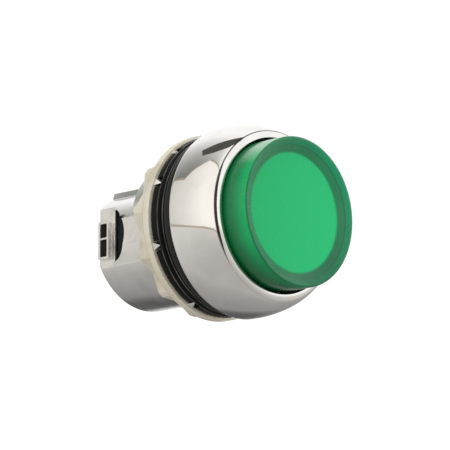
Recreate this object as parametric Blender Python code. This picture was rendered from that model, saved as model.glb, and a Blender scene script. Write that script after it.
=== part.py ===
"""Illuminated push-button head for a round panel hole, as a set of separate pieces.

The button's axis is the Y axis and its front faces -Y; +Z is up. The origin is the centre of
the panel seat: the plane where the gasket's rear face meets the panel. Lengths along the axis
are given as "forward" distances, positive from the panel seat towards the front (-Y).
"""

import math

import bmesh
import bpy
from mathutils import Matrix, Vector

MM = 0.001

# Driving dimensions
GAP = 0.3 * MM                  # between pieces that touch or run on each other
TRAVEL = 4.0 * MM               # how far the button goes in
BEZEL_RADIUS = 14.65 * MM       # widest part of the domed bezel, near its rear
BEZEL_REAR = 4.7 * MM
LIP_FRONT = 13.2 * MM           # front edge of the bezel, round its opening
LIP_RADIUS = 12.85 * MM         # crease where the dome meets the sloping lip
CREASE_FRONT = 12.6 * MM
OPENING_RADIUS = 11.75 * MM     # the bezel's opening round the lens
BARREL_RADIUS = 11.0 * MM       # the body that passes through the panel hole
BARREL_REAR = -15.75 * MM
LENS_RADIUS = 11.35 * MM
LENS_FRONT = 17.95 * MM         # edge of the lens, proud of its dished face
DISC_RADIUS = 9.05 * MM         # flat middle of the lens's shallow dished face
DISC_FACE = 16.5 * MM
GASKET_RADIUS = 13.8 * MM
WASHER_RADIUS = 14.2 * MM
STAR_POINT_RADIUS = 13.35 * MM  # the nut's twelve points, and the hollows between them
STAR_HOLLOW_RADIUS = 12.2 * MM

# Sizes that follow from them
NECK_RADIUS = 12.7 * MM         # the body's neck, inside the bezel
NECK_FRONT = 8.0 * MM
NECK_BORE = LENS_RADIUS + GAP
CHAMBER_RADIUS = 9.9 * MM       # spring chamber inside the barrel
CHAMBER_REAR = -6.0 * MM
REAR_BORE = 5.8 * MM
SLEEVE_RADIUS = 4.2 * MM        # push sleeve, with the lamp's way through it
LAMP_BORE = 3.2 * MM
HOLDER_RADIUS = 8.6 * MM
SEAT_RING_BORE = HOLDER_RADIUS + GAP
SEALS_FRONT = 7.2 * MM          # front of the stop ring, seal and retainer in the neck
SHOULDER_START = -7.2 * MM      # behind this the barrel's top is cut down
PLATEAU_HEIGHT = 6.55 * MM
FLAT_DISTANCE = 9.5 * MM        # side flats at the rear end, from the axis
FLAT_FRONT = -12.4 * MM
PAD_DISTANCE = 10.7 * MM        # shallow side pads behind the nut
PAD_TOP = 1.5 * MM
WINDOW_CENTRE_UP = -0.9 * MM    # D-shaped side windows in front of the flats
WINDOW_HALF_HEIGHT = 4.0 * MM
WINDOW_REACH = 3.3 * MM
INSERT_DISTANCE = 9.0 * MM
SPRING_RADIUS = 5.7 * MM
SPRING_WIRE = 0.65 * MM
SPRING_TURNS = 3

STAR_POINTS = 12
STAR_PHASE = math.radians(24.4)
# Eight teeth about 45 degrees apart; the unevenness keys the washer to the gasket
TOOTH_ANGLES = [math.radians(a) for a in (21, 66, 131.5, 158, 199.5, 246, 291, 336)]
TOOTH_CENTRE_RADIUS = 13.4 * MM
TOOTH_HALF_WIDTH = 0.65 * MM
TOOTH_HEIGHT = 1.15 * MM

ROUND_STEPS = 48
FINE_STEPS = 56
HIDDEN_STEPS = 32               # for pieces inside the body


# ---------------------------------------------------------------- helpers

def clear_scene():
    for obj in list(bpy.data.objects):
        bpy.data.objects.remove(obj, do_unlink=True)


def make_material(name, color, roughness, metallic=0.0, transmission=0.0):
    material = bpy.data.materials.new(name)
    material.use_nodes = True
    shader = material.node_tree.nodes["Principled BSDF"]
    shader.inputs["Base Color"].default_value = (*color, 1.0)
    shader.inputs["Roughness"].default_value = roughness
    shader.inputs["Metallic"].default_value = metallic
    shader.inputs["Transmission Weight"].default_value = transmission
    material.diffuse_color = (*color, 1.0)
    return material


def link_mesh(name, bm, material=None):
    """Make a named object from a bmesh, with smooth faces and sharp edges where it turns."""
    bmesh.ops.remove_doubles(bm, verts=bm.verts, dist=1e-6)
    bmesh.ops.recalc_face_normals(bm, faces=bm.faces)
    mesh = bpy.data.meshes.new(name)
    bm.to_mesh(mesh)
    bm.free()
    mesh.shade_smooth()
    mesh.set_sharp_from_angle(angle=math.radians(35))
    obj = bpy.data.objects.new(name, mesh)
    bpy.context.scene.collection.objects.link(obj)
    if material:
        mesh.materials.append(material)
    return obj


def turned(name, profile, material=None, steps=ROUND_STEPS):
    """Turn a closed outline of (radius, forward) points round the Y axis."""
    bm = bmesh.new()
    verts = [bm.verts.new((radius, -forward, 0.0)) for radius, forward in profile]
    edges = []
    for first, second in zip(verts, verts[1:] + verts[:1]):
        on_axis = first.co.x == 0.0 and second.co.x == 0.0
        if not on_axis:
            edges.append(bm.edges.new((first, second)))
    bmesh.ops.spin(
        bm, geom=verts + edges, cent=(0, 0, 0), axis=(0, 1, 0),
        angle=math.tau, steps=steps, use_merge=True)
    return link_mesh(name, bm, material)


def ring(name, inner, outer, rear, front, material, steps=HIDDEN_STEPS):
    """A plain ring with a small chamfer on its outer edges."""
    cut = min(0.15 * MM, (front - rear) / 4)
    profile = [
        (inner, rear), (outer - cut, rear), (outer, rear + cut),
        (outer, front - cut), (outer - cut, front), (inner, front)]
    return turned(name, profile, material, steps)


def arc(centre, radius, start, end, count):
    """Points along an arc, with angles in degrees."""
    points = []
    for i in range(count + 1):
        angle = math.radians(start + (end - start) * i / count)
        points.append((centre[0] + radius * math.cos(angle), centre[1] + radius * math.sin(angle)))
    return points


def curve_through(a, b, c, d, count):
    """Points along a cubic curve from a to d, with b and c as its handles."""
    points = []
    for i in range(count + 1):
        t = i / count
        u = 1 - t
        weights = (u ** 3, 3 * u * u * t, 3 * u * t * t, t ** 3)
        points.append(tuple(sum(w * p[k] for w, p in zip(weights, (a, b, c, d))) for k in (0, 1)))
    return points


def add_prism(bm, outline, start, end, place):
    """Extrude a flat outline from start to end; place turns (u, v, depth) into a position."""
    loops = []
    for depth in (start, end):
        loops.append([bm.verts.new(place(u, v, depth)) for u, v in outline])
    bm.faces.new(loops[0])
    bm.faces.new(loops[1])
    count = len(outline)
    for i in range(count):
        j = (i + 1) % count
        bm.faces.new((loops[0][i], loops[0][j], loops[1][j], loops[1][i]))


def along_axis(u, v, depth):
    """Outline in x and up, extruded along the button's axis."""
    return Vector((u, -depth, v))


def along_side(u, v, depth):
    """Outline in forward distance and up, extruded along X."""
    return Vector((depth, -u, v))


def box_outline(low_u, high_u, low_v, high_v):
    return [(low_u, low_v), (high_u, low_v), (high_u, high_v), (low_u, high_v)]


def boolean(target, tool, operation):
    """Cut or join with a tool object that is itself left out of the model."""
    modifier = target.modifiers.new(operation.lower() + "_" + tool.name, "BOOLEAN")
    modifier.operation = operation
    modifier.solver = "EXACT"
    modifier.object = tool
    tool.hide_render = True
    tool.display_type = "WIRE"


# ---------------------------------------------------------------- front of the button

def build_bezel(material):
    rear_round = 0.5 * MM
    rear_edge = arc(
        (BEZEL_RADIUS - rear_round, BEZEL_REAR + rear_round), rear_round, -90, 0, 3)
    dome = curve_through(
        (BEZEL_RADIUS, BEZEL_REAR + rear_round), (BEZEL_RADIUS, BEZEL_REAR + 4.2 * MM),
        (LIP_RADIUS + 0.95 * MM, CREASE_FRONT - 0.7 * MM), (LIP_RADIUS, CREASE_FRONT), 8)
    edge = 0.15 * MM
    inside = [
        (OPENING_RADIUS + edge, LIP_FRONT), (OPENING_RADIUS, LIP_FRONT - edge),
        (OPENING_RADIUS, CREASE_FRONT - 0.65 * MM),
        (NECK_RADIUS + 0.4 * MM, CREASE_FRONT - 1.65 * MM),
        (NECK_RADIUS + 0.4 * MM, BEZEL_REAR)]
    profile = rear_edge + dome[1:] + inside
    return turned("bezel", profile, material, FINE_STEPS)


def build_guide_sleeve(material):
    inner = NECK_BORE
    profile = [
        (inner, NECK_FRONT + GAP), (NECK_RADIUS + 0.1 * MM, NECK_FRONT + GAP),
        (NECK_RADIUS + 0.1 * MM, CREASE_FRONT - 1.8 * MM),
        (inner + GAP, CREASE_FRONT - 1.3 * MM), (inner, CREASE_FRONT - 1.3 * MM)]
    return turned("guide_sleeve", profile, material)


def build_lens_cap(material):
    wall = 1.3 * MM
    rear = SEALS_FRONT + TRAVEL + GAP
    rim_round = 0.3 * MM
    corner = (LENS_RADIUS - rim_round, LENS_FRONT - rim_round)
    rim_top = arc(corner, rim_round, 0, 90, 4)
    profile = [(LENS_RADIUS - wall, rear), (LENS_RADIUS, rear)] + rim_top
    profile += [
        (DISC_RADIUS, DISC_FACE), (0.0, DISC_FACE),
        (0.0, DISC_FACE - 1.25 * MM), (LENS_RADIUS - wall, DISC_FACE - 1.25 * MM)]
    return turned("lens_cap", profile, material, FINE_STEPS)


def build_disc(name, radius, rear, front, material):
    profile = [(0.0, rear), (radius, rear), (radius, front), (0.0, front)]
    return turned(name, profile, material, HIDDEN_STEPS)


def build_lens_holder(material):
    top = 13.2 * MM
    collar = 12.4 * MM
    foot_top = 4.3 * MM
    foot = 3.2 * MM
    inner = HOLDER_RADIUS - 1.0 * MM
    profile = [
        (LAMP_BORE + 0.2 * MM, foot), (CHAMBER_RADIUS - 0.4 * MM, foot),
        (CHAMBER_RADIUS - 0.4 * MM, foot_top), (HOLDER_RADIUS, foot_top),
        (HOLDER_RADIUS, collar), (HOLDER_RADIUS + 1.0 * MM, collar),
        (HOLDER_RADIUS + 1.0 * MM, top), (inner, top),
        (inner, foot_top), (LAMP_BORE + 0.2 * MM, foot_top)]
    return turned("lens_holder", profile, material, HIDDEN_STEPS)


def build_push_sleeve(material):
    top = 2.9 * MM
    rear = BARREL_REAR + 0.9 * MM
    profile = [
        (LAMP_BORE, rear), (SLEEVE_RADIUS, rear), (SLEEVE_RADIUS, top - 0.8 * MM),
        (SLEEVE_RADIUS + 1.0 * MM, top - 0.8 * MM), (SLEEVE_RADIUS + 1.0 * MM, top),
        (LAMP_BORE, top)]
    return turned("push_sleeve", profile, material, HIDDEN_STEPS)


def build_spring(material):
    low = -3.925 * MM
    high = 2.5 * MM
    count = SPRING_TURNS * 16
    curve = bpy.data.curves.new("return_spring", "CURVE")
    curve.dimensions = "3D"
    curve.bevel_depth = SPRING_WIRE / 2
    curve.bevel_resolution = 2
    curve.use_fill_caps = True
    spline = curve.splines.new("POLY")
    spline.points.add(count)
    for i in range(count + 1):
        angle = math.tau * SPRING_TURNS * i / count
        forward = low + (high - low) * i / count
        spline.points[i].co = (
            SPRING_RADIUS * math.cos(angle), -forward, SPRING_RADIUS * math.sin(angle), 1.0)
    curve.materials.append(material)
    obj = bpy.data.objects.new("return_spring", curve)
    bpy.context.scene.collection.objects.link(obj)
    return obj


# ---------------------------------------------------------------- body

def shoulder_cutter():
    """What is taken off above the barrel's shoulders and its flat top."""
    centre = (-2.7 * MM, -2.7 * MM)
    far = 14.0 * MM
    left = arc(centre, 9.25 * MM, 152.9, 116.0, 8)
    left.append((left[-1][0], PLATEAU_HEIGHT))
    right = [(-x, up) for x, up in reversed(left)]
    outline = left + right + [(far, right[-1][1]), (far, far), (-far, far), (-far, left[0][1])]
    bm = bmesh.new()
    add_prism(bm, outline, BARREL_REAR - 1 * MM, SHOULDER_START, along_axis)
    return link_mesh("cut_shoulder", bm)


def side_cutters():
    """Side flats, pads and D-shaped windows, the same on both sides."""
    far = 13.0 * MM
    window = [(FLAT_FRONT + WINDOW_REACH * math.cos(math.radians(a)),
               WINDOW_CENTRE_UP + WINDOW_HALF_HEIGHT * math.sin(math.radians(a)))
              for a in range(-90, 91, 15)]
    shapes = {
        "flats": (box_outline(BARREL_REAR - 1 * MM, FLAT_FRONT, -far, far), FLAT_DISTANCE),
        "pads": (box_outline(-11.5 * MM, -2.0 * MM, -4.5 * MM, PAD_TOP), PAD_DISTANCE),
        "windows": (window, INSERT_DISTANCE - 1.2 * MM)}
    cutters = []
    for name, (outline, depth) in shapes.items():
        bm = bmesh.new()
        for side in (-1, 1):
            add_prism(bm, outline, side * depth, side * far, along_side)
        cutters.append(link_mesh("cut_" + name, bm))
    return cutters


def latch_frame(low, high, rear, front, inner, outer, name):
    """A block on each side flat, between two distances from the axis."""
    bm = bmesh.new()
    for side in (-1, 1):
        add_prism(bm, box_outline(rear, front, low, high), side * inner, side * outer, along_side)
    return link_mesh(name, bm)


def build_barrel(material):
    chamfer = 0.35 * MM
    groove_floor = NECK_RADIUS - 0.55 * MM
    profile = [
        (BARREL_RADIUS - chamfer, BARREL_REAR), (BARREL_RADIUS, BARREL_REAR + chamfer),
        (BARREL_RADIUS, 3.05 * MM), (NECK_RADIUS, 3.05 * MM),
        (NECK_RADIUS, 5.6 * MM), (groove_floor, 5.6 * MM),
        (groove_floor, 6.8 * MM), (NECK_RADIUS, 6.8 * MM), (NECK_RADIUS, NECK_FRONT),
        (NECK_BORE, NECK_FRONT), (NECK_BORE, 4.3 * MM), (CHAMBER_RADIUS, 4.3 * MM),
        (CHAMBER_RADIUS, CHAMBER_REAR), (REAR_BORE, CHAMBER_REAR), (REAR_BORE, BARREL_REAR)]
    barrel = turned("body_barrel", profile, material, FINE_STEPS)
    boolean(barrel, shoulder_cutter(), "DIFFERENCE")
    for cutter in side_cutters():
        boolean(barrel, cutter, "DIFFERENCE")

    # A low rectangular latch loop on each flat, with two windows split by a thin bar
    low = -4.3 * MM
    high = 1.55 * MM
    rear = BARREL_REAR + 0.35 * MM
    front = rear + 2.25 * MM
    boolean(barrel, latch_frame(low, high, rear, front, 8.9 * MM, 10.2 * MM, "join_latch"), "UNION")
    strip = 0.35 * MM
    middle = (low + high) / 2 + 0.25 * MM
    bar = 0.15 * MM
    spans = {"lower": (low + strip, middle - bar), "upper": (middle + bar, high - strip)}
    for name, (bottom, top) in spans.items():
        tool = latch_frame(
            bottom, top, rear + strip, front - strip, 8.1 * MM, 11 * MM, "cut_latch_" + name)
        boolean(barrel, tool, "DIFFERENCE")
    return barrel


def build_side_insert(name, side, material):
    """Dark plastic pad seen through a side window."""
    outline = [(FLAT_FRONT + GAP + (WINDOW_REACH - 2 * GAP) * math.cos(math.radians(a)),
                WINDOW_CENTRE_UP + (WINDOW_HALF_HEIGHT - GAP) * math.sin(math.radians(a)))
               for a in range(-90, 91, 15)]
    bm = bmesh.new()
    outer = side * INSERT_DISTANCE
    inner = side * (INSERT_DISTANCE - 0.9 * MM)
    add_prism(bm, outline, inner, outer, along_side)
    return link_mesh(name, bm, material)


def build_rear_bush(material):
    outer = REAR_BORE - GAP
    profile = [
        (SLEEVE_RADIUS + GAP, BARREL_REAR + GAP), (outer, BARREL_REAR + GAP),
        (outer, CHAMBER_REAR + GAP), (CHAMBER_RADIUS - 0.4 * MM, CHAMBER_REAR + GAP),
        (CHAMBER_RADIUS - 0.4 * MM, CHAMBER_REAR + 1.0 * MM),
        (SLEEVE_RADIUS + GAP, CHAMBER_REAR + 1.0 * MM)]
    return turned("rear_bush", profile, material, HIDDEN_STEPS)


# ---------------------------------------------------------------- seals and fixing ring

def tooth_frame(angle):
    """Local axes at a tooth: x outwards, y forward along the button's axis, z sideways."""
    outward = Vector((math.cos(angle), 0, math.sin(angle)))
    forward = Vector((0, -1, 0))
    sideways = outward.cross(forward)
    return outward, forward, sideways


def notch_cutter():
    """Blocks that cut the gasket's rear edge where the washer's teeth sit."""
    bm = bmesh.new()
    half = TOOTH_HALF_WIDTH + 0.4 * MM
    for angle in TOOTH_ANGLES:
        outward, forward, sideways = tooth_frame(angle)

        def place(u, v, depth):
            return outward * u + sideways * v + forward * depth
        add_prism(bm, box_outline(12.2 * MM, 15 * MM, -half, half), -1 * MM, 1.6 * MM, place)
    return link_mesh("cut_notches", bm)


def build_panel_gasket(material):
    rear = GAP / 2
    inner = BARREL_RADIUS + GAP
    groove = GASKET_RADIUS - 0.35 * MM
    profile = [
        (inner, rear), (GASKET_RADIUS, rear), (GASKET_RADIUS, 1.75 * MM),
        (groove, 1.95 * MM), (groove, 2.25 * MM), (GASKET_RADIUS - 0.1 * MM, 2.4 * MM),
        (GASKET_RADIUS - 0.1 * MM, 2.75 * MM), (inner, 2.75 * MM)]
    gasket = turned("panel_gasket", profile, material, FINE_STEPS)
    boolean(gasket, notch_cutter(), "DIFFERENCE")
    return gasket


def build_cushion_ring(material):
    rear = 3.05 * MM
    front = BEZEL_REAR - GAP
    inner = NECK_RADIUS + GAP
    half = (front - rear) / 2
    crown = arc((GASKET_RADIUS - half * 0.8, (rear + front) / 2), half, -90, 90, 6)
    profile = [(inner, rear)] + crown + [(inner, front)]
    return turned("cushion_ring", profile, material)


def build_o_ring(material):
    circle = arc((NECK_RADIUS - 0.1 * MM, 6.2 * MM), 0.25 * MM, 0, 360, 6)[:-1]
    return turned("bezel_o_ring", circle, material, HIDDEN_STEPS)


def tooth_tool():
    """Pyramid teeth on the washer's front face, sunk a little into it."""
    bm = bmesh.new()
    face = -GAP / 2
    sunk = 0.25 * MM
    radial = 0.55 * MM
    for angle in TOOTH_ANGLES:
        outward, forward, sideways = tooth_frame(angle)
        base = []
        for du, dv in ((-radial, -1), (radial, -1), (radial, 1), (-radial, 1)):
            base.append(outward * (TOOTH_CENTRE_RADIUS + du) + sideways * (dv * TOOTH_HALF_WIDTH))
        low = [bm.verts.new(p + forward * (face - sunk)) for p in base]
        high = [bm.verts.new(p + forward * face) for p in base]
        tip = bm.verts.new(outward * TOOTH_CENTRE_RADIUS + forward * (face + TOOTH_HEIGHT))
        bm.faces.new(low)
        for i in range(4):
            j = (i + 1) % 4
            bm.faces.new((low[i], low[j], high[j], high[i]))
            bm.faces.new((high[i], high[j], tip))
    return link_mesh("join_teeth", bm)


def build_clamp_washer(material):
    washer = ring(
        "clamp_washer", BARREL_RADIUS + GAP, WASHER_RADIUS, -1.3 * MM, -GAP / 2, material,
        FINE_STEPS)
    boolean(washer, tooth_tool(), "UNION")
    return washer


def star_outline():
    """Twelve blunt points with hollows between them."""
    blunt = math.radians(1.9)
    half_pitch = math.pi / STAR_POINTS
    outline = []
    for k in range(STAR_POINTS):
        point = STAR_PHASE + k * 2 * half_pitch
        for angle, radius in (
                (point - blunt, STAR_POINT_RADIUS), (point + blunt, STAR_POINT_RADIUS),
                (point + half_pitch, STAR_HOLLOW_RADIUS)):
            outline.append((radius * math.cos(angle), radius * math.sin(angle)))
    return outline


def build_locking_nut(material):
    rear = -4.3 * MM
    front = -1.6 * MM
    chamfer = 0.3 * MM
    bm = bmesh.new()
    outline = star_outline()
    loops = []
    for depth, inset in ((rear, chamfer), (rear + chamfer, 0.0), (front, 0.0)):
        scale = 1 - inset / STAR_POINT_RADIUS
        loops.append([bm.verts.new(along_axis(u * scale, v * scale, depth)) for u, v in outline])
    bm.faces.new(loops[0])
    bm.faces.new(loops[-1])
    for lower, upper in zip(loops, loops[1:]):
        for i in range(len(outline)):
            j = (i + 1) % len(outline)
            bm.faces.new((lower[i], lower[j], upper[j], upper[i]))
    nut = link_mesh("locking_nut", bm, material)
    bore = bmesh.new()
    bmesh.ops.create_cone(
        bore, cap_ends=True, segments=ROUND_STEPS, radius1=BARREL_RADIUS + GAP,
        radius2=BARREL_RADIUS + GAP, depth=12 * MM, matrix=Matrix.Rotation(math.pi / 2, 4, "X"))
    boolean(nut, link_mesh("cut_nut_bore", bore), "DIFFERENCE")
    return nut


# ---------------------------------------------------------------- whole object

def build_all():
    clear_scene()
    chrome = make_material("chrome", (0.80, 0.79, 0.78), 0.10, metallic=1.0)
    zinc = make_material("yellow_zinc", (0.76, 0.70, 0.55), 0.35, metallic=0.7)
    green = make_material("green_lens", (0.03, 0.45, 0.20), 0.12, transmission=0.3)
    rubber = make_material("black_rubber", (0.012, 0.012, 0.012), 0.55)
    black = make_material("black_plastic", (0.02, 0.02, 0.022), 0.45)
    white = make_material("white_plastic", (0.85, 0.85, 0.83), 0.4)
    steel = make_material("spring_steel", (0.6, 0.6, 0.6), 0.25, metallic=1.0)

    build_bezel(chrome)
    build_guide_sleeve(black)
    build_barrel(chrome)
    build_side_insert("side_insert_left", -1, black)
    build_side_insert("side_insert_right", 1, black)
    build_rear_bush(black)
    ring("stop_ring", SEAT_RING_BORE, NECK_BORE - GAP, 4.6 * MM, 5.2 * MM, steel)
    ring("lip_seal", SEAT_RING_BORE, NECK_BORE - GAP, 5.5 * MM, 6.3 * MM, rubber)
    ring("seal_retainer", SEAT_RING_BORE, NECK_BORE - GAP, 6.6 * MM, SEALS_FRONT, black)
    ring("spring_seat", 5.0 * MM, CHAMBER_RADIUS - 0.4 * MM, -4.7 * MM, -4.35 * MM, steel)
    build_spring(steel)

    build_lens_cap(green)
    build_disc("legend_plate", 9.5 * MM, 14.5 * MM, 14.9 * MM, white)
    build_disc("diffuser_disc", 9.5 * MM, 13.5 * MM, 14.2 * MM, white)
    ring("lens_seal_ring", SEAT_RING_BORE, 9.6 * MM, 11.6 * MM, 12.1 * MM, rubber)
    build_lens_holder(white)
    build_push_sleeve(black)

    build_o_ring(rubber)
    build_cushion_ring(rubber)
    build_panel_gasket(rubber)
    build_clamp_washer(zinc)
    build_locking_nut(zinc)


build_all()
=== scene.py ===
import math

import bmesh
import bpy
from mathutils import Matrix, Vector


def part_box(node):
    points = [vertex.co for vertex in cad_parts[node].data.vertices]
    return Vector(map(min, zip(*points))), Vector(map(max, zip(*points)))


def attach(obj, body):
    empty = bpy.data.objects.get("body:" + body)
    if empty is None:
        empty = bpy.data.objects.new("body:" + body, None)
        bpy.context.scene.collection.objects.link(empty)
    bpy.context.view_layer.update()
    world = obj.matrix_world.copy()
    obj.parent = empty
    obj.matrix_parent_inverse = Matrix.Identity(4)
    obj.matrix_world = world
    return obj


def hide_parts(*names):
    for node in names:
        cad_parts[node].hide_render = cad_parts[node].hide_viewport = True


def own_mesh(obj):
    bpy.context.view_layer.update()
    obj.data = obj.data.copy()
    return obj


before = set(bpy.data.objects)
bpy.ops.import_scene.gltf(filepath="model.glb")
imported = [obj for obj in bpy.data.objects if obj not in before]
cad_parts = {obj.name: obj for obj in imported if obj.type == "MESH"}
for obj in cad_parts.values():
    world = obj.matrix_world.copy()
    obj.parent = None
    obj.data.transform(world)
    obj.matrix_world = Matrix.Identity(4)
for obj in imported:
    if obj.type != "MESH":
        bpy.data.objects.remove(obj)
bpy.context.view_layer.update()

# The looks of an illuminated push-button head: polished bezel, green lens, rubber seals, and
# a washer and a twelve-pointed nut on a plated barrel. The button's axis is Y, its front faces
# -Y, and +Z is up. Profiles are (radius, forward) in millimetres, where forward runs from the
# panel seat towards the front (-Y).

MM = 0.001
TURN_STEPS = 192        # steps round a turned piece
BODY_STEPS = 128        # round the barrel and the nut's bore
INNER_STEPS = 96        # round the small pieces inside


def forward_range(node):
    """Rear and front of a CAD node, as forward distances in millimetres."""
    low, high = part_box(node)
    return -high.y / MM, -low.y / MM


def radius_of(node):
    """Largest radius of a turned CAD node, in millimetres."""
    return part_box(node)[1].x / MM


BEZEL_REAR, LIP_FRONT = forward_range("bezel")
BEZEL_RADIUS = radius_of("bezel")
BARREL_REAR = forward_range("body_barrel")[0]
LENS_REAR, LENS_FRONT = forward_range("lens_cap")
LENS_RADIUS = radius_of("lens_cap")
WASHER_REAR = forward_range("clamp_washer")[0]
WASHER_RADIUS = radius_of("clamp_washer")
NUT_REAR = forward_range("locking_nut")[0]
GASKET_RADIUS = radius_of("panel_gasket")
BARREL_RADIUS = 11.0
OPENING_RADIUS = 11.75  # of the bezel, round the lens
LIP_RADIUS = 12.87      # of the crease where the bezel's dome meets its lip
CREASE_FRONT = 12.75    # its forward distance
NECK_RADIUS = 12.7      # of the barrel inside the bezel
DISC_RADIUS = 9.05      # of the bright middle of the lens
DISC_FACE = 16.5        # its forward distance
GAP = 0.3               # clearance round pieces that slide or turn


# ---------------------------------------------------------------- outlines

def arc(centre, radius, start, end, count):
    """Points along an arc, with angles in degrees."""
    angles = [math.radians(start + (end - start) * i / count) for i in range(count + 1)]
    return [(centre[0] + radius * math.cos(a), centre[1] + radius * math.sin(a)) for a in angles]


def cubic(a, b, c, d, count):
    """Points along a cubic curve from a to d, with b and c as its handles."""
    points = []
    for i in range(count + 1):
        t = i / count
        u = 1 - t
        weights = (u ** 3, 3 * u * u * t, 3 * u * t * t, t ** 3)
        points.append(tuple(sum(w * p[k] for w, p in zip(weights, (a, b, c, d))) for k in (0, 1)))
    return points


def rounded(corners, count=4):
    """A closed outline from corners (u, v) or (u, v, radius), with the radii rounded off."""
    outline = []
    total = len(corners)
    for i, corner in enumerate(corners):
        here = Vector(corner[:2])
        radius = corner[2] if len(corner) > 2 else 0.0
        to_last = Vector(corners[i - 1][:2]) - here
        to_next = Vector(corners[(i + 1) % total][:2]) - here
        opening = to_last.angle(to_next)
        if radius == 0.0 or opening > math.radians(178):
            outline.append(tuple(here))
            continue
        reach = radius / math.tan(opening / 2)
        reach = min(reach, 0.48 * to_last.length, 0.48 * to_next.length)
        radius = reach * math.tan(opening / 2)
        first = here + to_last.normalized() * reach
        middle = here + (to_last.normalized() + to_next.normalized()).normalized() * (
            radius / math.sin(opening / 2))
        swing = math.pi - opening
        cross = to_last.x * to_next.y - to_last.y * to_next.x
        turn = swing if cross < 0 else -swing
        spoke = first - middle
        for k in range(count + 1):
            angle = turn * k / count
            outline.append((
                middle.x + spoke.x * math.cos(angle) - spoke.y * math.sin(angle),
                middle.y + spoke.x * math.sin(angle) + spoke.y * math.cos(angle)))
    return outline


def box_outline(low_u, high_u, low_v, high_v, radius=0.0):
    """A rectangle with its corners rounded off."""
    return rounded([(low_u, low_v, radius), (high_u, low_v, radius),
                    (high_u, high_v, radius), (low_u, high_v, radius)])


# ---------------------------------------------------------------- meshes

def link_mesh(name, bm):
    """Put a bmesh into the scene as a named object."""
    mesh = bpy.data.meshes.new(name)
    bm.to_mesh(mesh)
    bm.free()
    obj = bpy.data.objects.new(name, mesh)
    bpy.context.scene.collection.objects.link(obj)
    return obj


def finish_mesh(name, bm, sharp=32):
    """Make a closed piece from a bmesh, smooth except where it turns sharply."""
    bmesh.ops.remove_doubles(bm, verts=bm.verts, dist=1e-7)
    bmesh.ops.recalc_face_normals(bm, faces=bm.faces)
    obj = link_mesh(name, bm)
    obj.data.shade_smooth()
    obj.data.set_sharp_from_angle(angle=math.radians(sharp))
    return obj


def turned(name, profile, steps=TURN_STEPS):
    """Turn a closed outline of (radius, forward) millimetres round the Y axis."""
    bm = bmesh.new()
    loops = []
    for step in range(steps):
        angle = math.tau * step / steps
        ca, sa = math.cos(angle) * MM, math.sin(angle) * MM
        loops.append([
            loops[0][i] if step and r == 0.0 else bm.verts.new((r * ca, -s * MM, r * sa))
            for i, (r, s) in enumerate(profile)])
    count = len(profile)
    for step in range(steps):
        near, far = loops[step], loops[(step + 1) % steps]
        for i in range(count):
            j = (i + 1) % count
            corners = []
            for vert in (near[i], near[j], far[j], far[i]):
                if vert not in corners:
                    corners.append(vert)
            if len(corners) > 2:
                bm.faces.new(corners)
    return finish_mesh(name, bm)


def along_axis(u, v, depth):
    """Outline in x and up, run along the button's axis."""
    return Vector((u, -depth, v)) * MM


def along_side(u, v, depth):
    """Outline in forward distance and up, run along X."""
    return Vector((depth, -u, v)) * MM


def add_skin(bm, loops):
    """Faces between closed loops of points, with a cap on the first and the last."""
    bm.faces.new(loops[0])
    bm.faces.new(loops[-1])
    count = len(loops[0])
    for near, far in zip(loops, loops[1:]):
        for i in range(count):
            j = (i + 1) % count
            bm.faces.new((near[i], near[j], far[j], far[i]))


def add_prism(bm, outline, start, end, place):
    """Extrude a flat outline from start to end."""
    add_skin(bm, [[bm.verts.new(place(u, v, depth)) for u, v in outline]
                  for depth in (start, end)])


def prism(name, outline, spans, place):
    """One prism for each (start, end) in spans, as one object."""
    bm = bmesh.new()
    for start, end in spans:
        add_prism(bm, outline, start, end, place)
    return finish_mesh(name, bm)


def combine(target, tool, operation):
    """Apply a boolean to the target's mesh and remove the tool."""
    modifier = target.modifiers.new("combine", "BOOLEAN")
    modifier.operation = operation
    modifier.solver = "EXACT"
    modifier.object = tool
    apply_modifiers(target)
    bpy.data.objects.remove(tool, do_unlink=True)


def apply_modifiers(obj):
    """Turn an object's modifiers into plain mesh."""
    graph = bpy.context.evaluated_depsgraph_get()
    mesh = bpy.data.meshes.new_from_object(obj.evaluated_get(graph))
    obj.modifiers.clear()
    old, obj.data = obj.data, mesh
    bpy.data.meshes.remove(old)


def soften_edges(obj, width, angle=34, segments=2):
    """Round the sharp edges that a boolean leaves."""
    modifier = obj.modifiers.new("edges", "BEVEL")
    modifier.width = width * MM
    modifier.segments = segments
    modifier.limit_method = "ANGLE"
    modifier.angle_limit = math.radians(angle)
    modifier.harden_normals = True
    modifier.use_clamp_overlap = True
    apply_modifiers(obj)


def dress(obj, material, body, slot, *nodes):
    """Give a piece its material and its body, and hide the CAD nodes it stands for; the slot is
    not used.
    """
    obj.data.materials.clear()
    obj.data.materials.append(material)
    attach(obj, body)
    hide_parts(*nodes)
    return obj


# ---------------------------------------------------------------- materials

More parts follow.
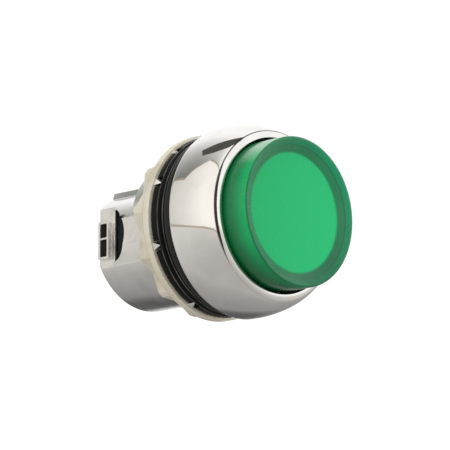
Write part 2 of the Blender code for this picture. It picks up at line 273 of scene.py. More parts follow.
class Surface:
    """A procedural material, with its patterns measured in millimetres on the piece."""

    def __init__(self, name, **values):
        self.material = bpy.data.materials.new(name)
        self.material.use_nodes = True
        self.tree = self.material.node_tree
        self.shader = self.tree.nodes["Principled BSDF"]
        for key, value in values.items():
            self.feed(self.shader.inputs[key.replace("_", " ")], value)
        self.coords = self.add("TexCoord").outputs["Object"]

    def add(self, kind, **settings):
        """A new shader node."""
        node = self.tree.nodes.new("ShaderNode" + kind)
        for key, value in settings.items():
            setattr(node, key, value)
        return node

    def feed(self, socket, value):
        """Give a socket a link, a colour or a number."""
        if isinstance(value, bpy.types.NodeSocket):
            self.tree.links.new(value, socket)
        elif isinstance(value, tuple) and len(value) == 3 and socket.type == "RGBA":
            socket.default_value = (*value, 1.0)
        else:
            socket.default_value = value

    def point(self, stretch=(1, 1, 1), turn=(0, 0, 0)):
        """The point on the piece in millimetres, stretched and turned for a pattern."""
        node = self.add("Mapping")
        self.feed(node.inputs["Vector"], self.coords)
        node.inputs["Scale"].default_value = [1000 * s for s in stretch]
        node.inputs["Rotation"].default_value = [math.radians(a) for a in turn]
        return node.outputs["Vector"]

    def noise(self, scale, detail=3.0, stretch=(1, 1, 1), turn=(0, 0, 0), warp=0.0):
        """Soft cloudy noise round 0.5, with scale in features for each millimetre."""
        node = self.add("TexNoise")
        self.feed(node.inputs["Vector"], self.point(stretch, turn))
        node.inputs["Scale"].default_value = scale
        node.inputs["Detail"].default_value = detail
        node.inputs["Distortion"].default_value = warp
        return node.outputs["Fac"]

    def specks(self, scale, size):
        """Small round spots, 1 at their middle and 0 outside."""
        node = self.add("TexVoronoi")
        self.feed(node.inputs["Vector"], self.point())
        node.inputs["Scale"].default_value = scale
        return self.remap(node.outputs["Distance"], 0.0, size, 1.0, 0.0)

    def remap(self, value, low, high, to_low, to_high):
        """Carry a value from one range to another, and hold it at the ends."""
        node = self.add("MapRange")
        for key, number in zip(("Value", "From Min", "From Max", "To Min", "To Max"),
                               (value, low, high, to_low, to_high)):
            self.feed(node.inputs[key], number)
        return node.outputs["Result"]

    def math(self, operation, a, b=0.0):
        """One sum of two values."""
        node = self.add("Math", operation=operation)
        self.feed(node.inputs[0], a)
        self.feed(node.inputs[1], b)
        return node.outputs["Value"]

    def ramp(self, value, stops):
        """A colour for each value, from stops of (value, colour)."""
        node = self.add("ValToRGB")
        self.feed(node.inputs["Fac"], value)
        elements = node.color_ramp.elements
        while len(elements) < len(stops):
            elements.new(0.5)
        for element, (place, color) in zip(elements, stops):
            element.position = place
            element.color = (*color, 1.0)
        return node.outputs["Color"]

    def mix(self, factor, a, b):
        """Colour a at factor 0, and colour b at factor 1."""
        node = self.add("Mix", data_type="RGBA")
        self.feed(node.inputs["Factor"], factor)
        self.feed(node.inputs["A"], a)
        self.feed(node.inputs["B"], b)
        return node.outputs["Result"]

    def split(self):
        """The point's x, y and z on the piece, in millimetres."""
        node = self.add("SeparateXYZ")
        self.feed(node.inputs["Vector"], self.point())
        return node.outputs["X"], node.outputs["Y"], node.outputs["Z"]

    def radius(self):
        """The point's distance from the button's axis, in millimetres."""
        x, _, z = self.split()
        squares = self.math("ADD", self.math("MULTIPLY", x, x), self.math("MULTIPLY", z, z))
        return self.math("SQRT", squares)

    def set(self, key, value):
        """Feed one of the shader's own sockets."""
        self.feed(self.shader.inputs[key], value)

    def bump(self, *layers, edge=0.0):
        """Layers of (height, depth in millimetres), and edges softened over a distance."""
        normal = None
        if edge:
            node = self.add("Bevel", samples=4)
            node.inputs["Radius"].default_value = edge * MM
            normal = node.outputs["Normal"]
        for height, depth in layers:
            node = self.add("Bump")
            node.inputs["Strength"].default_value = 1.0
            node.inputs["Distance"].default_value = depth * MM
            self.feed(node.inputs["Height"], height)
            if normal:
                self.feed(node.inputs["Normal"], normal)
            normal = node.outputs["Normal"]
        self.feed(self.shader.inputs["Normal"], normal)
        return self.material


def srgb(red, green, blue):
    """A colour given as it shows on screen, from 0 to 255."""
    def linear(value):
        value /= 255
        return value / 12.92 if value <= 0.04045 else ((value + 0.055) / 1.055) ** 2.4
    return linear(red), linear(green), linear(blue)


def polished_chrome():
    """Bright plating with faint haze, hairline scratches and a few dust specks."""
    s = Surface("polished_chrome", Metallic=1.0)
    haze = s.noise(0.22, 2.0, warp=0.6)
    hairs = s.noise(1.6, 5.0, stretch=(1, 9, 1), turn=(12, 0, 31))
    dust = s.specks(0.62, 0.035)
    tone = s.ramp(haze, [(0.3, srgb(236, 233, 229)), (0.7, srgb(245, 243, 240))])
    tone = s.mix(s.math("MULTIPLY", dust, 0.55), tone, srgb(150, 146, 140))
    # Painted shade: a dark line in the crease, wider towards the right and faint at the bottom
    off_crease = s.math("ABSOLUTE", s.math("SUBTRACT", s.radius(), LIP_RADIUS))
    x, y, z = s.split()
    width = s.remap(x, -2.0, 5.0, 0.1, 0.28)
    crease = s.math("MULTIPLY", s.remap(off_crease, 0.04, width, 0.95, 0.0),
                    s.remap(y, -CREASE_FRONT + 0.8, -CREASE_FRONT + 0.6, 0.0, 1.0))
    crease = s.math("MULTIPLY", crease, s.remap(z, -8.0, -4.0, 0.12, 1.0))
    s.set("Base Color", s.mix(crease, tone, srgb(62, 54, 48)))
    rough = s.math("ADD", s.remap(haze, 0.35, 0.7, 0.035, 0.075),
                   s.remap(hairs, 0.56, 0.72, 0.0, 0.05))
    s.set("Roughness", s.math("ADD", rough, s.math("MULTIPLY", dust, 0.3)))
    return s.bump((s.noise(0.5, 1.0), 0.006), (hairs, 0.0006), (dust, 0.006))


def plated_casting():
    """Nickel-bright plating over a die casting: softer, with ripples and cast grain."""
    s = Surface("plated_casting", Metallic=1.0)
    cloud = s.noise(0.3, 3.0, warp=0.4)
    grain = s.noise(5.5, 4.0)
    pits = s.specks(1.1, 0.06)
    tone = s.ramp(cloud, [(0.25, srgb(228, 226, 223)), (0.5, srgb(240, 238, 234)),
                          (0.8, srgb(247, 245, 241))])
    s.set("Base Color", s.mix(s.math("MULTIPLY", pits, 0.5), tone, srgb(120, 116, 110)))
    rough = s.math("ADD", s.remap(cloud, 0.3, 0.75, 0.13, 0.24),
                   s.remap(grain, 0.4, 0.8, 0.0, 0.08))
    s.set("Roughness", rough)
    return s.bump((s.noise(0.8, 1.5), 0.014), (grain, 0.0035), (pits, 0.01), edge=0.14)


def passivated_zinc():
    """Cream-yellow zinc with an uneven film, cast grain and darker pores."""
    s = Surface("passivated_zinc", Metallic=0.3)
    s.set("Specular IOR Level", 0.45)
    film = s.noise(0.28, 4.0, warp=0.8)
    grain = s.noise(7.0, 5.0)
    pores = s.specks(1.7, 0.075)
    tone = s.ramp(film, [(0.25, srgb(238, 229, 202)), (0.5, srgb(252, 245, 222)),
                         (0.75, srgb(254, 252, 241))])
    tone = s.mix(s.math("MULTIPLY", pores, 0.45), tone, srgb(140, 128, 104))
    # Painted shade in the joint with the nut, round the washer's rim
    _, y, _ = s.split()
    off_joint = s.math("ABSOLUTE", s.math("SUBTRACT", y, -WASHER_REAR + 0.05))
    on_rim = s.remap(s.radius(), WASHER_RADIUS - 0.14, WASHER_RADIUS - 0.1, 0.0, 1.0)
    joint_shade = s.math("MULTIPLY", s.remap(off_joint, 0.1, 0.16, 0.9, 0.0), on_rim)
    s.set("Base Color", s.mix(joint_shade, tone, srgb(88, 76, 62)))
    s.set("Roughness", s.math("ADD", s.remap(film, 0.3, 0.7, 0.26, 0.38),
                              s.remap(grain, 0.35, 0.75, 0.0, 0.14)))
    return s.bump((s.noise(1.1, 2.0), 0.012), (grain, 0.006), (pores, 0.02), edge=0.04)


def bare_metal():
    """Bright, freshly pressed metal on the teeth."""
    s = Surface("bare_metal", Metallic=1.0)
    grain = s.noise(6.0, 4.0)
    s.set("Base Color", s.ramp(grain, [(0.3, srgb(222, 221, 218)), (0.7, srgb(246, 245, 242))]))
    s.set("Roughness", s.remap(grain, 0.3, 0.7, 0.14, 0.3))
    return s.bump((grain, 0.008), edge=0.08)


def spring_wire():
    """Drawn steel wire with lengthways die lines."""
    s = Surface("spring_wire", Metallic=1.0)
    lines = s.noise(4.0, 4.0, stretch=(1, 5, 1))
    s.set("Base Color", s.ramp(lines, [(0.3, srgb(128, 126, 124)), (0.7, srgb(186, 184, 180))]))
    s.set("Roughness", s.remap(lines, 0.3, 0.7, 0.2, 0.36))
    return s.bump((lines, 0.004))


def black_rubber():
    """Moulded rubber with a fine matt skin, mould bloom and a little dust."""
    s = Surface("black_rubber", Metallic=0.0)
    s.set("Specular IOR Level", 0.17)
    bloom = s.noise(0.5, 4.0, stretch=(1, 2, 1), warp=0.7)
    skin = s.noise(9.0, 4.0)
    dust = s.specks(2.1, 0.07)
    tone = s.ramp(bloom, [(0.3, srgb(3, 4, 4)), (0.6, srgb(8, 9, 9)),
                          (0.85, srgb(22, 23, 23))])
    # Painted sheen: the cushion, in front of the gasket, is paler
    _, y, _ = s.split()
    tone = s.mix(s.remap(y, -2.7, -2.9, 0.0, 0.85), tone, srgb(44, 45, 44))
    tone = s.mix(s.math("MULTIPLY", dust, 0.5), tone, srgb(150, 150, 146))
    # Two pale, broken painted highlights round the gasket, where its edges catch the light
    broken = s.remap(s.noise(0.35, 3.0), 0.35, 0.65, 0.2, 0.85)
    for place in (-1.45, -2.5):
        line = s.remap(s.math("ABSOLUTE", s.math("SUBTRACT", y, place)), 0.02, 0.07, 1.0, 0.0)
        tone = s.mix(s.math("MULTIPLY", line, broken), tone, srgb(165, 167, 163))
    s.set("Base Color", tone)
    s.set("Roughness", s.math("ADD", s.remap(bloom, 0.3, 0.8, 0.22, 0.36),
                              s.remap(skin, 0.3, 0.8, 0.0, 0.12)))
    return s.bump((skin, 0.008), (dust, 0.01), edge=0.06)


def black_plastic(name="black_plastic", dark=(22, 26, 27), light=(36, 43, 44), shine=0.5):
    """Moulded plastic with spark-eroded grain and a few light scuffs."""
    s = Surface(name, Metallic=0.0)
    s.set("Specular IOR Level", shine)
    cloud = s.noise(0.7, 3.0)
    grain = s.noise(11.0, 3.0)
    scuffs = s.remap(s.noise(1.3, 6.0, stretch=(1, 6, 1), turn=(20, 35, 0)), 0.62, 0.74, 0, 1)
    tone = s.ramp(cloud, [(0.3, srgb(*dark)), (0.75, srgb(*light))])
    s.set("Base Color", s.mix(s.math("MULTIPLY", scuffs, 0.3), tone, srgb(110, 116, 116)))
    s.set("Roughness", s.math("ADD", s.remap(grain, 0.3, 0.7, 0.34, 0.5),
                              s.math("MULTIPLY", scuffs, 0.1)))
    return s.bump((grain, 0.007), edge=0.08)


def white_plastic():
    """Milky plastic with flow marks."""
    s = Surface("white_plastic", Metallic=0.0)
    s.set("Subsurface Weight", 0.25)
    s.set("Subsurface Radius", (0.001, 0.001, 0.001))
    flow = s.noise(0.4, 3.0, warp=1.2)
    grain = s.noise(10.0, 3.0)
    s.set("Base Color", s.ramp(flow, [(0.3, srgb(226, 225, 219)), (0.7, srgb(240, 240, 236))]))
    s.set("Roughness", s.remap(grain, 0.3, 0.7, 0.32, 0.48))
    return s.bump((grain, 0.005))


def green_lens():
    """Tinted plastic: bright in front of the white plates behind it, deeper round them."""
    s = Surface("green_lens", Metallic=0.0)
    s.set("IOR", 1.49)
    s.set("Specular IOR Level", 0.3)
    s.set("Subsurface Weight", 0.35)
    s.set("Subsurface Radius", (0.0004, 0.0016, 0.0009))
    s.set("Subsurface Scale", 1.0)
    radius = s.radius()
    x, y, z = s.split()
    cloud = s.noise(0.25, 3.0, warp=0.5)
    grain = s.noise(8.0, 3.0)
    scuffs = s.remap(s.noise(0.8, 7.0, stretch=(9, 1, 1), turn=(0, 24, 0)), 0.64, 0.74, 0, 1)

    # Across the front: the disc, a little brighter towards the right, a deep band with a fine
    # line, and a brighter outer band with a painted highlight near its edge. Painted light turns
    # the band plainer and greyer at the left, and painted shade deepens it at the bottom
    across = s.remap(radius, 8.0, 11.4, 0.0, 1.0)
    bright = s.ramp(s.remap(x, -9.0, 9.0, 0.0, 1.0), [
        (0.0, srgb(2, 196, 116)), (0.6, srgb(6, 206, 124)), (1.0, srgb(10, 214, 130))])
    band = s.ramp(across, [
        (0.3, srgb(50, 140, 96)), (0.6, srgb(54, 142, 100)), (0.63, srgb(26, 108, 70)),
        (0.66, srgb(36, 158, 110)), (0.85, srgb(36, 160, 112)), (0.9, srgb(70, 150, 114)),
        (0.97, srgb(28, 122, 78))])
    plain = s.ramp(across, [(0.3, srgb(50, 140, 96)), (0.9, srgb(56, 138, 98)),
                            (0.95, srgb(22, 104, 62))])
    band = s.mix(s.remap(x, -6.0, 6.0, 0.0, 1.0), plain, band)
    band = s.mix(s.remap(z, 2.0, -8.0, 0.0, 0.65), band, srgb(26, 98, 64))
    front = s.mix(s.remap(across, 0.25, 0.37, 0.0, 1.0), bright, band)
    # Along the wall, painted light and shade: dark by the opening, where less light reaches it,
    # brightest just behind the edge
    along = s.remap(y, -LENS_FRONT, -LIP_FRONT, 1.0, 0.0)
    wall = s.ramp(along, [
        (0.0, srgb(28, 136, 76)), (0.16, srgb(22, 134, 74)), (0.3, srgb(38, 140, 86)),
        (0.5, srgb(22, 166, 98)), (0.72, srgb(14, 192, 112)), (0.88, srgb(14, 198, 116)),
        (0.97, srgb(20, 150, 88))])
    # Painted highlight at the top of the wall, where it faces the light above, and painted shade
    # towards the bottom
    glow = s.math("MULTIPLY", s.remap(z, 6.2, 9.0, 0.0, 0.95), s.remap(along, 0.15, 0.4, 0.1, 1.0))
    wall = s.mix(glow, wall, srgb(176, 220, 192))
    wall = s.mix(s.remap(z, -5.0, -10.0, 0.0, 0.6), wall, srgb(10, 72, 40))
    on_wall = s.remap(radius, LENS_RADIUS - 0.14, LENS_RADIUS - 0.02, 0.0, 1.0)
    tone = s.mix(on_wall, front, wall)
    tone = s.mix(s.remap(cloud, 0.35, 0.75, 0.0, 0.12), tone, srgb(24, 205, 132))
    s.set("Base Color", s.mix(s.math("MULTIPLY", scuffs, 0.06), tone, srgb(190, 225, 205)))
    s.set("Roughness", s.math("ADD", s.remap(grain, 0.3, 0.7, 0.2, 0.3),
                              s.math("MULTIPLY", scuffs, 0.15)))
    return s.bump((s.noise(0.7, 1.0), 0.006), (grain, 0.0025))


# ---------------------------------------------------------------- front of the button

def build_bezel(material):
    """The domed shell, with a sloping lip round its opening."""
    rear_round, edge = 0.5, 0.1
    rear_edge = arc(
        (BEZEL_RADIUS - rear_round, BEZEL_REAR + rear_round), rear_round, -90, 0, 10)
    crease = (LIP_RADIUS, CREASE_FRONT)
    dome = cubic((BEZEL_RADIUS, BEZEL_REAR + rear_round), (BEZEL_RADIUS, BEZEL_REAR + 4.5),
                 (LIP_RADIUS + 0.76, CREASE_FRONT - 0.88), crease, 48)
    lip = cubic(crease, (LIP_RADIUS - 0.35, CREASE_FRONT + 0.345),
                (OPENING_RADIUS + 0.5, LIP_FRONT), (OPENING_RADIUS + edge, LIP_FRONT), 16)
    bore = arc((OPENING_RADIUS + edge, LIP_FRONT - edge), edge, 90, 180, 5)
    pocket, pocket_front = NECK_RADIUS + 0.4, CREASE_FRONT - 1.65
    inside = [(OPENING_RADIUS, pocket_front + 1.0), (pocket, pocket_front), (pocket, BEZEL_REAR)]
    shell = turned("bezel_shell", rear_edge + dome[1:] + lip[1:] + bore[1:] + inside)
    dress(shell, material, "housing", "chrome", "bezel")


def build_guide_ring(material):
    """The sleeve that the lens runs in."""
    rear, front = forward_range("guide_sleeve")
    outer = radius_of("guide_sleeve")
    inner = LENS_RADIUS + GAP
    land, chamfer, edge = 0.3, 0.65, 0.1
    profile = rounded([
        (inner, rear, edge), (outer, rear, edge), (outer, front - chamfer, edge),
        (inner + land, front, edge), (inner, front, edge)])
    dress(turned("guide_ring", profile), material, "housing", "black_plastic", "guide_sleeve")


def build_lens(material):
    """A cup with a shallow dish in its face."""
    wall, face, rim = 1.3, 1.25, 0.3
    inner, back = LENS_RADIUS - wall, DISC_FACE - face
    profile = rounded([
        (inner, LENS_REAR, 0.15), (LENS_RADIUS, LENS_REAR, 0.2),
        (LENS_RADIUS, LENS_FRONT, rim), (DISC_RADIUS, DISC_FACE, 0.12), (0.0, DISC_FACE),
        (0.0, back), (inner, back, 0.3)], 8)
    dress(turned("lens_shell", profile), material, "button", "green_lens", "lens_cap")


# ---------------------------------------------------------------- body

FLAT_DISTANCE = 9.5     # of each side flat from the axis
FLAT_FRONT = -12.4      # forward distance where it ends
PAD_DISTANCE = 10.7     # of the shallow pad in front of it
INSERT_DISTANCE = 9.0   # of the dark plastic in the windows
LATCH_LOW = -4.3        # bottom and top of the latch loop
LATCH_HIGH = 1.55
WINDOW_UP = -0.9        # middle of the D-shaped window
WINDOW_HALF = 4.0
WINDOW_REACH = 3.3      # forward from the flat


def window_outline(inset=0.0):
    """The D-shaped window in front of each side flat."""
    return [(FLAT_FRONT + inset + (WINDOW_REACH - 2 * inset) * u,
             WINDOW_UP + (WINDOW_HALF - inset) * v) for u, v in arc((0, 0), 1, -90, 90, 48)]


def cut_shoulders(barrel):
    """Round the barrel's shoulders down to a flat top that runs to the rear end."""
    far, flat_top, front = 14.0, 6.55, -7.2
    centre, radius, start, end = (-2.7, -2.7), 9.25, 152.9, 116.0
    left = arc(centre, radius, start, end, 24)
    foot, lean = left[-1][0] - 0.15, 0.3
    left[-1] = (foot, left[-1][1])
    corner = (foot + lean, flat_top)
    right = [(-x, up) for x, up in reversed(left)]
    outline = left + [corner, (-corner[0], flat_top)] + right
    outline += [(far, right[-1][1]), (far, far), (-far, far), (-far, left[0][1])]
    tool = prism("cut", outline, [(BARREL_REAR - 1, front)], along_axis)
    combine(barrel, tool, "DIFFERENCE")


def cut_sides(barrel):
    """Cut the flats, the pads, a slot along the top of each pad, and the windows."""
    far = 13.0
    flat = box_outline(BARREL_REAR - 1, FLAT_FRONT, -far, far)
    pad = box_outline(-11.5, -2.0, -4.5, 1.5, 0.3)
    slot = box_outline(-9.9, -3.0, 1.4, 1.85)
    for outline, depth in (
            (flat, FLAT_DISTANCE), (pad, PAD_DISTANCE), (slot, PAD_DISTANCE - 0.8),
            (window_outline(), INSERT_DISTANCE - 1.2)):
        tool = prism("cut", outline, [(-far, -depth), (depth, far)], along_side)
        combine(barrel, tool, "DIFFERENCE")


def add_latches(barrel):
    """A low rectangular loop on each flat, with two windows split by a thin bar."""
    low, high = LATCH_LOW, LATCH_HIGH
    rear = BARREL_REAR + 0.35
    front = rear + 2.25
    inner, outer = FLAT_DISTANCE - 0.6, FLAT_DISTANCE + 0.7
    block = box_outline(rear, front, low, high, 0.25)
    combine(barrel, prism("join", block, [(-outer, -inner), (inner, outer)], along_side), "UNION")
    strip, half_bar = 0.38, 0.15
    middle = (low + high) / 2 + 0.25
    floor, far = 8.1, 11
    for bottom, top in ((low + strip, middle - half_bar), (middle + half_bar, high - strip)):
        hole = box_outline(rear + strip, front - strip, bottom, top, 0.15)
        tool = prism("cut", hole, [(-far, -floor), (floor, far)], along_side)
        combine(barrel, tool, "DIFFERENCE")


def build_barrel(material):
    """The body, from its rear bore to the neck inside the bezel."""
    bore, chamber, lens_room = 5.8, 9.9, LENS_RADIUS + GAP
    chamber_rear, room_rear = -6.0, 4.3
    neck_rear, neck_front = 3.05, 8.0
    groove, groove_rear, groove_front = NECK_RADIUS - 0.55, 5.6, 6.8
    profile = rounded([
        (bore, BARREL_REAR, 0.2), (BARREL_RADIUS, BARREL_REAR, 0.35),
        (BARREL_RADIUS, neck_rear), (NECK_RADIUS, neck_rear), (NECK_RADIUS, groove_rear),
        (groove, groove_rear), (groove, groove_front), (NECK_RADIUS, groove_front),
        (NECK_RADIUS, neck_front), (lens_room, neck_front), (lens_room, room_rear),
        (chamber, room_rear), (chamber, chamber_rear), (bore, chamber_rear)])
    barrel = turned("barrel_casting", profile, BODY_STEPS)
    cut_shoulders(barrel)
    cut_sides(barrel)
    add_latches(barrel)
    barrel.data.set_sharp_from_angle(angle=math.radians(30))
    dress(barrel, material, "housing", "chrome", "body_barrel")


def build_window_pads(material):
    """The dark plastic seen through the side windows."""
    face, back = INSERT_DISTANCE, INSERT_DISTANCE - 0.9
    for name, span in (("left", (-face, -back)), ("right", (back, face))):
        pad = prism("window_pad_" + name, window_outline(0.08), [span], along_side)
        soften_edges(pad, 0.12)
        dress(pad, material, "housing", "black_plastic", "side_insert_" + name)


def build_latch_shade_sheets(material):
    """Dark sheets of painted shade inside the two latch loops."""
    rear, front, inset = BARREL_REAR + 0.6, BARREL_REAR + 2.35, 0.25
    outline = box_outline(rear, front, LATCH_LOW + inset, LATCH_HIGH - inset, 0.1)
    floor, face = 9.0, 9.45
    spans = [(-face, -floor), (floor, face)]
    dress(prism("latch_shade_sheets", outline, spans, along_side), material, "housing",
          "black_plastic", "body_barrel")


def build_rear_pieces(material):
    """The bush in the rear bore, and the sleeve that slides in it."""
    rear = forward_range("rear_bush")[0]
    bore, outer, flange = 4.5, 5.5, 9.5
    flange_rear, front = -5.7, -5.0
    bush = rounded([
        (bore, rear, 0.25), (outer, rear, 0.25), (outer, flange_rear),
        (flange, flange_rear, 0.1), (flange, front, 0.1), (bore, front, 0.2)])
    dress(turned("guide_bush", bush, INNER_STEPS), material, "housing", "black_plastic",
          "rear_bush")
    rear, front = forward_range("push_sleeve")
    bore, outer, flange = 3.2, 4.2, 5.2
    flange_rear = front - 0.8
    sleeve = rounded([
        (bore, rear, 0.25), (outer, rear, 0.3), (outer, flange_rear),
        (flange, flange_rear, 0.1), (flange, front, 0.1), (bore, front, 0.2)])
    dress(turned("lamp_sleeve", sleeve, INNER_STEPS), material, "button", "black_plastic",
          "push_sleeve")


# ---------------------------------------------------------------- seals and fixing ring

TOOTH_ANGLES = [math.radians(a) for a in (21, 66, 131.5, 158, 199.5, 246, 291, 336)]
TOOTH_RADIUS = 13.4     # of the middle of a tooth
TOOTH_HALF = 0.58       # half of its width at the foot
TOOTH_HEIGHT = 0.95


def tooth_axes(angle):
    """Outward, ahead and sideways at a tooth."""
    outward = Vector((math.cos(angle), 0, math.sin(angle)))
    ahead = Vector((0, -1, 0))
    return outward, ahead, outward.cross(ahead)


def beside_tooth(angle):
    """Outline in outward and sideways distance at a tooth, run along the button's axis."""
    outward, ahead, sideways = tooth_axes(angle)
    return lambda u, v, depth: (outward * u + sideways * v + ahead * depth) * MM


def build_gasket(material):
    """The panel gasket with a notch for each tooth."""
    rear, front = forward_range("panel_gasket")
    outer, inner = GASKET_RADIUS, BARREL_RADIUS + GAP
    waist, bead = outer - 0.4, outer - 0.08
    profile = rounded([
        (inner, rear), (outer, rear, 0.1), (outer, rear + 0.7, 0.05),
        (outer - 0.1, rear + 0.85, 0.05), (outer, rear + 1.0, 0.05), (outer, 1.72, 0.1),
        (waist, 1.95, 0.06), (waist, 2.22, 0.06), (bead, 2.36, 0.1), (bead, front, 0.12),
        (inner, front)], 4)
    steps = 160
    gasket = turned("gasket_ring", profile, steps)
    bm = bmesh.new()
    half, floor, far = TOOTH_HALF + 0.2, 12.5, 15
    notch_rear, notch_front = -1, 1.45
    for angle in TOOTH_ANGLES:
        add_prism(bm, box_outline(floor, far, -half, half), notch_rear, notch_front,
                  beside_tooth(angle))
    combine(gasket, finish_mesh("cut", bm), "DIFFERENCE")
    gasket.data.set_sharp_from_angle(angle=math.radians(32))
    dress(gasket, material, "housing", "black_rubber", "panel_gasket")


def build_cushion(material):
    """The round-edged ring that lies between the gasket and the bezel."""
    rear, front = forward_range("panel_gasket")[1] + 0.02, forward_range("cushion_ring")[1]
    half, bulge = (front - rear) / 2, 0.4
    crown = [(radius_of("cushion_ring") - bulge + bulge * u, (rear + front) / 2 + half * v)
             for u, v in arc((0, 0), 1, -90, 90, 16)]
    inner = NECK_RADIUS + GAP
    ring = turned("cushion_band", [(inner, rear)] + crown + [(inner, front)])
    dress(ring, material, "housing", "black_rubber", "cushion_ring")


def build_washer(plate_material, tooth_material):
    """The clamp washer, with pointed teeth on its front face."""
    face, bore = -0.04, BARREL_RADIUS + GAP
    plate = rounded([
        (bore, WASHER_REAR, 0.1), (WASHER_RADIUS, WASHER_REAR, 0.1),
        (WASHER_RADIUS, face, 0.06), (bore, face, 0.1)])
    dress(turned("washer_plate", plate), plate_material, "washer", "yellow_zinc", "clamp_washer")

    # Each level is a forward distance and the tooth's share of its full width there
    levels = ((face - 0.2, 1.0), (face, 1.0), (face + TOOTH_HEIGHT * 0.86, 0.2),
              (face + TOOTH_HEIGHT, 0.09))
    half_depth = 0.55
    bm = bmesh.new()
    for angle in TOOTH_ANGLES:
        outward, ahead, sideways = tooth_axes(angle)
        add_skin(bm, [[bm.verts.new((
            outward * (TOOTH_RADIUS + du * half_depth * share)
            + sideways * (dv * TOOTH_HALF * share) + ahead * depth) * MM)
            for du, dv in ((-1, -1), (1, -1), (1, 1), (-1, 1))] for depth, share in levels])
    teeth = finish_mesh("washer_teeth", bm)
    dress(teeth, tooth_material, "washer", "yellow_zinc", "clamp_washer")


def star_outline(point_radius, hollow_radius):
    """Twelve blunt points with hollows between them."""
    corners = []
    phase, blunt = math.radians(24.4), math.radians(1.9)
    tip_round, hollow_round = 0.12, 0.5
    points = 12
    pitch = math.tau / points
    for k in range(points):
        point = phase + k * pitch
        for angle, radius, fillet in (
                (point - blunt, point_radius, tip_round),
                (point + blunt, point_radius, tip_round),
                (point + pitch / 2, hollow_radius, hollow_round)):
            corners.append((radius * math.cos(angle), radius * math.sin(angle), fillet))
    return rounded(corners, 4)


def build_nut(material):
    """The nut, with its points bevelled at both ends."""
    front = WASHER_REAR - 0.1
    point, hollow = 13.35, 12.2
    # Each level is a forward distance and how far the outline draws in there
    levels = ((NUT_REAR, 0.32), (NUT_REAR + 0.1, 0.12), (NUT_REAR + 0.34, 0.0),
              (front - 0.1, 0.0), (front, 0.08))
    outline = star_outline(point, hollow)
    bm = bmesh.new()
    loops = []
    for depth, inset in levels:
        scale = 1 - inset / point
        loops.append([bm.verts.new(along_axis(u * scale, v * scale, depth)) for u, v in outline])
    add_skin(bm, loops)
    nut = finish_mesh("star_nut", bm)
    bore, past_rear, past_front = BARREL_RADIUS + GAP, -8.0, 2.0
    tool = turned("cut", [(0.0, past_rear), (bore, past_rear), (bore, past_front),
                          (0.0, past_front)], BODY_STEPS)
    combine(nut, tool, "DIFFERENCE")
    nut.data.set_sharp_from_angle(angle=math.radians(26))
    dress(nut, material, "nut", "yellow_zinc", "locking_nut")


# ---------------------------------------------------------------- inside pieces

def build_spring(material):
    """A round-wire coil that closes up as the button goes in."""
    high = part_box("return_spring")[1]
    rear, front = forward_range("return_spring")
    wire = 0.325            # its radius
    radius = high.x / MM - wire
    turns, around = 3, 12
    steps = turns * 40
    bm = bmesh.new()
    loops = []
    for i in range(steps + 1):
        angle = math.tau * turns * i / steps
        middle = rear + wire + (front - rear - 2 * wire) * i / steps
        outward = Vector((math.cos(angle), 0, math.sin(angle)))
        loops.append([bm.verts.new((
            outward * (radius + wire * math.cos(math.tau * k / around))
            + Vector((0, -1, 0)) * (middle + wire * math.sin(math.tau * k / around))) * MM)
            for k in range(around)])
    add_skin(bm, loops)
    coil = finish_mesh("spring_coil", bm)
    dress(coil, material, "housing", "spring_steel", "return_spring")
    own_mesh(coil)


def dress_inner_nodes(rubber, black, white, steel):
    """Detailed materials on the CAD pieces that stay as they are."""
    finishes = {
        "stop_ring": steel, "lip_seal": rubber, "seal_retainer": black, "spring_seat": steel,
        "legend_plate": white, "diffuser_disc": white, "lens_seal_ring": rubber,
        "lens_holder": white, "bezel_o_ring": rubber}
    for node, material in finishes.items():
        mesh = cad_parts[node].data
        mesh.materials.clear()
        mesh.materials.append(material)


# ---------------------------------------------------------------- studio

def towards(azimuth, elevation):
    """A direction from the object, with azimuth from +Y towards +X, in degrees."""
    a, e = math.radians(azimuth), math.radians(elevation)
    return Vector((math.sin(a) * math.cos(e), math.cos(a) * math.cos(e), math.sin(e)))


def plain_material(name, color, glow=False):
    """Plain paper, or with glow, a surface that only gives light."""
    material = bpy.data.materials.new(name)
    material.use_nodes = True
    inputs = material.node_tree.nodes["Principled BSDF"].inputs
    inputs["Base Color"].default_value = (0, 0, 0, 1) if glow else (*color, 1)
    inputs["Roughness"].default_value = 0.9
    if glow:
        inputs["Specular IOR Level"].default_value = 0.0
        inputs["Emission Color"].default_value = (*color, 1)
        inputs["Emission Strength"].default_value = 1.0
    return material


def card(name, facing, outline, color, distance=1.0):
    """A flat panel facing the object, seen only in its reflections.

    The outline is a list of directions, in degrees, where its corners lie."""
    bm = bmesh.new()
    corners = []
    for azimuth, elevation in outline:
        direction = towards(azimuth, elevation)
        corners.append(bm.verts.new(direction * distance / direction.dot(facing)))
    bm.faces.new(corners)
    obj = link_mesh(name, bm)
    obj.data.materials.append(plain_material(name, color, glow=True))
    obj.visible_camera = False
    obj.visible_diffuse = False
    obj.visible_shadow = False
    return obj


def fade_across(obj, low, high, near, far):
    """Let a card's light change from near to far along Y, in metres."""
    tree = obj.data.materials[0].node_tree
    split = tree.nodes.new("ShaderNodeSeparateXYZ")
    tree.links.new(tree.nodes.new("ShaderNodeTexCoord").outputs["Object"], split.inputs[0])
    ease = tree.nodes.new("ShaderNodeMapRange")
    for key, value in zip(("From Min", "From Max", "To Min", "To Max"), (low, high, near, far)):
        ease.inputs[key].default_value = value
    tree.links.new(split.outputs["Y"], ease.inputs["Value"])
    tree.links.new(ease.outputs["Result"],
                   tree.nodes["Principled BSDF"].inputs["Emission Strength"])


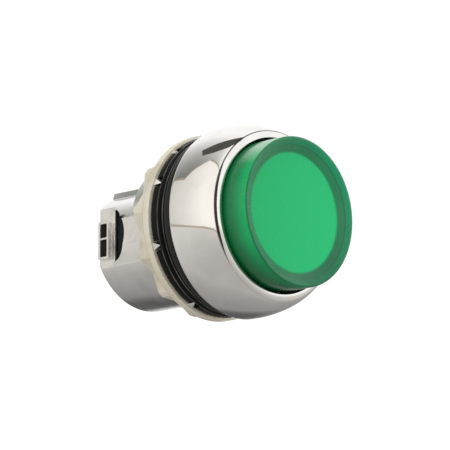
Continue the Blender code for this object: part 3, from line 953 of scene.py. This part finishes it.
def build_world():
    """A white studio: grey beside the left softbox, and grey below with one dark corner."""
    world = bpy.data.worlds.new("studio")
    bpy.context.scene.world = world
    world.use_nodes = True
    tree = world.node_tree
    coords = tree.nodes.new("ShaderNodeTexCoord").outputs["Generated"]

    def nearing(direction, low, high, interpolation="SMOOTHSTEP"):
        """0 to 1 as a ray turns towards a direction, between two cosines."""
        dot = tree.nodes.new("ShaderNodeVectorMath")
        dot.operation = "DOT_PRODUCT"
        tree.links.new(coords, dot.inputs[0])
        dot.inputs[1].default_value = Vector(direction).normalized()
        ease = tree.nodes.new("ShaderNodeMapRange")
        ease.interpolation_type = interpolation
        ease.inputs["From Min"].default_value = low
        ease.inputs["From Max"].default_value = high
        tree.links.new(dot.outputs["Value"], ease.inputs["Value"])
        return ease.outputs["Result"]

    def blend(factor, under, over):
        mix = tree.nodes.new("ShaderNodeMix")
        mix.data_type = "RGBA"
        tree.links.new(factor, mix.inputs["Factor"])
        for socket, value in ((mix.inputs["A"], under), (mix.inputs["B"], over)):
            if isinstance(value, bpy.types.NodeSocket):
                tree.links.new(value, socket)
            else:
                socket.default_value = (*value, 1.0)
        return mix.outputs["Result"]

    upper = blend(nearing(towards(-50, 32), 0.58, 0.98, "LINEAR"),
                  (1.05, 1.05, 1.05), (0.24, 0.25, 0.23))
    down, dark_corner = (0, 0, -1), towards(37, -21)
    lower = blend(nearing(down, 0.05, 0.9), (0.71, 0.69, 0.67), (0.47, 0.455, 0.44))
    lower = blend(nearing(dark_corner, 0.45, 0.95, "LINEAR"), lower, (0.29, 0.29, 0.29))
    lower = blend(nearing(dark_corner, 0.94, 0.995), lower, (0.11, 0.11, 0.11))
    color = blend(nearing(down, 0.05, 0.07), upper, lower)
    tree.links.new(color, tree.nodes["Background"].inputs["Color"])
    tree.nodes["Background"].inputs["Strength"].default_value = 1.0


def build_floor():
    """A pale floor that only the camera sees."""
    bm = bmesh.new()
    bmesh.ops.create_circle(bm, cap_ends=True, segments=96, radius=4.0)
    floor = link_mesh("floor", bm)
    floor.data.materials.append(plain_material("floor_paper", (0.82, 0.82, 0.81)))
    floor.location.z = -0.6
    floor.visible_glossy = False
    floor.visible_diffuse = False


def build_camera():
    """The photograph's view: from the left and a little below, through a long lens."""
    data = bpy.data.cameras.new("camera")
    data.sensor_width = 36
    data.lens = 280
    data.clip_start, data.clip_end = 0.01, 20
    camera = bpy.data.objects.new("camera", data)
    bpy.context.scene.collection.objects.link(camera)
    ahead, distance = towards(44.35, 10.99), 0.53
    aim = Vector((0.84, -0.93, 0.4)) * MM
    camera.matrix_world = (Matrix.Translation(aim - ahead * distance)
                           @ ahead.to_track_quat("-Z", "Y").to_matrix().to_4x4())
    bpy.context.scene.camera = camera


def build_studio():
    """The world, the floor, the camera, and the cards that the metal reflects."""
    build_world()
    build_floor()
    build_camera()
    bpy.context.scene.view_settings.view_transform = "Standard"
    side = towards(-78, 22)
    softbox = card("left_softbox", side, [
        (-30, 4), (-32, 33), (-46, 36), (-48, 47), (-60, 59), (-92, 58), (-137, 36),
        (-134, -16), (-69, -8), (-45, -1)], (1.0, 0.975, 0.93))
    fade_across(softbox, 0.1, 0.85, 1.04, 0.70)
    card("softbox_frame", side, [
        (-29, 2.5), (-31, 34), (-45, 38), (-47, 49), (-60, 61), (-92, 60), (-137, 38),
        (-134, -18), (-69, -9.7), (-45, -2.7)], (0.42, 0.37, 0.3), 1.02)
    card("boom", towards(0, 90), [
        (-13, 57), (-31, 57.5), (-44, 67), (-85, 81), (158, 68), (120, 74), (30, 77), (0, 68)],
        (0.085, 0.088, 0.076), 0.9)
    card("camera_side", towards(-142, -8), [
        (-146, -52), (-155, -12), (-150, 54), (-135, 22), (-134, -12)],
        (0.05, 0.04, 0.034), 0.8)


# ---------------------------------------------------------------- build

def build_all():
    """Make the materials, then each piece, then the studio."""
    chrome = polished_chrome()
    casting = plated_casting()
    zinc = passivated_zinc()
    rubber = black_rubber()
    black = black_plastic()
    window_dark = black_plastic("window_plastic", (8, 18, 18), (18, 32, 32), 0.2)
    # Dark brown plastic for the painted shade inside the latch loops
    latch_shade = black_plastic("latch_shade_plastic", (24, 15, 10), (42, 30, 22), 0.2)
    white = white_plastic()
    steel = spring_wire()

    build_bezel(chrome)
    build_guide_ring(black)
    build_lens(green_lens())
    build_barrel(casting)
    build_window_pads(window_dark)
    build_latch_shade_sheets(latch_shade)
    build_rear_pieces(black)
    build_gasket(rubber)
    build_cushion(rubber)
    build_washer(zinc, bare_metal())
    build_nut(zinc)
    build_spring(steel)
    dress_inner_nodes(rubber, black, white, steel)
    build_studio()


build_all()
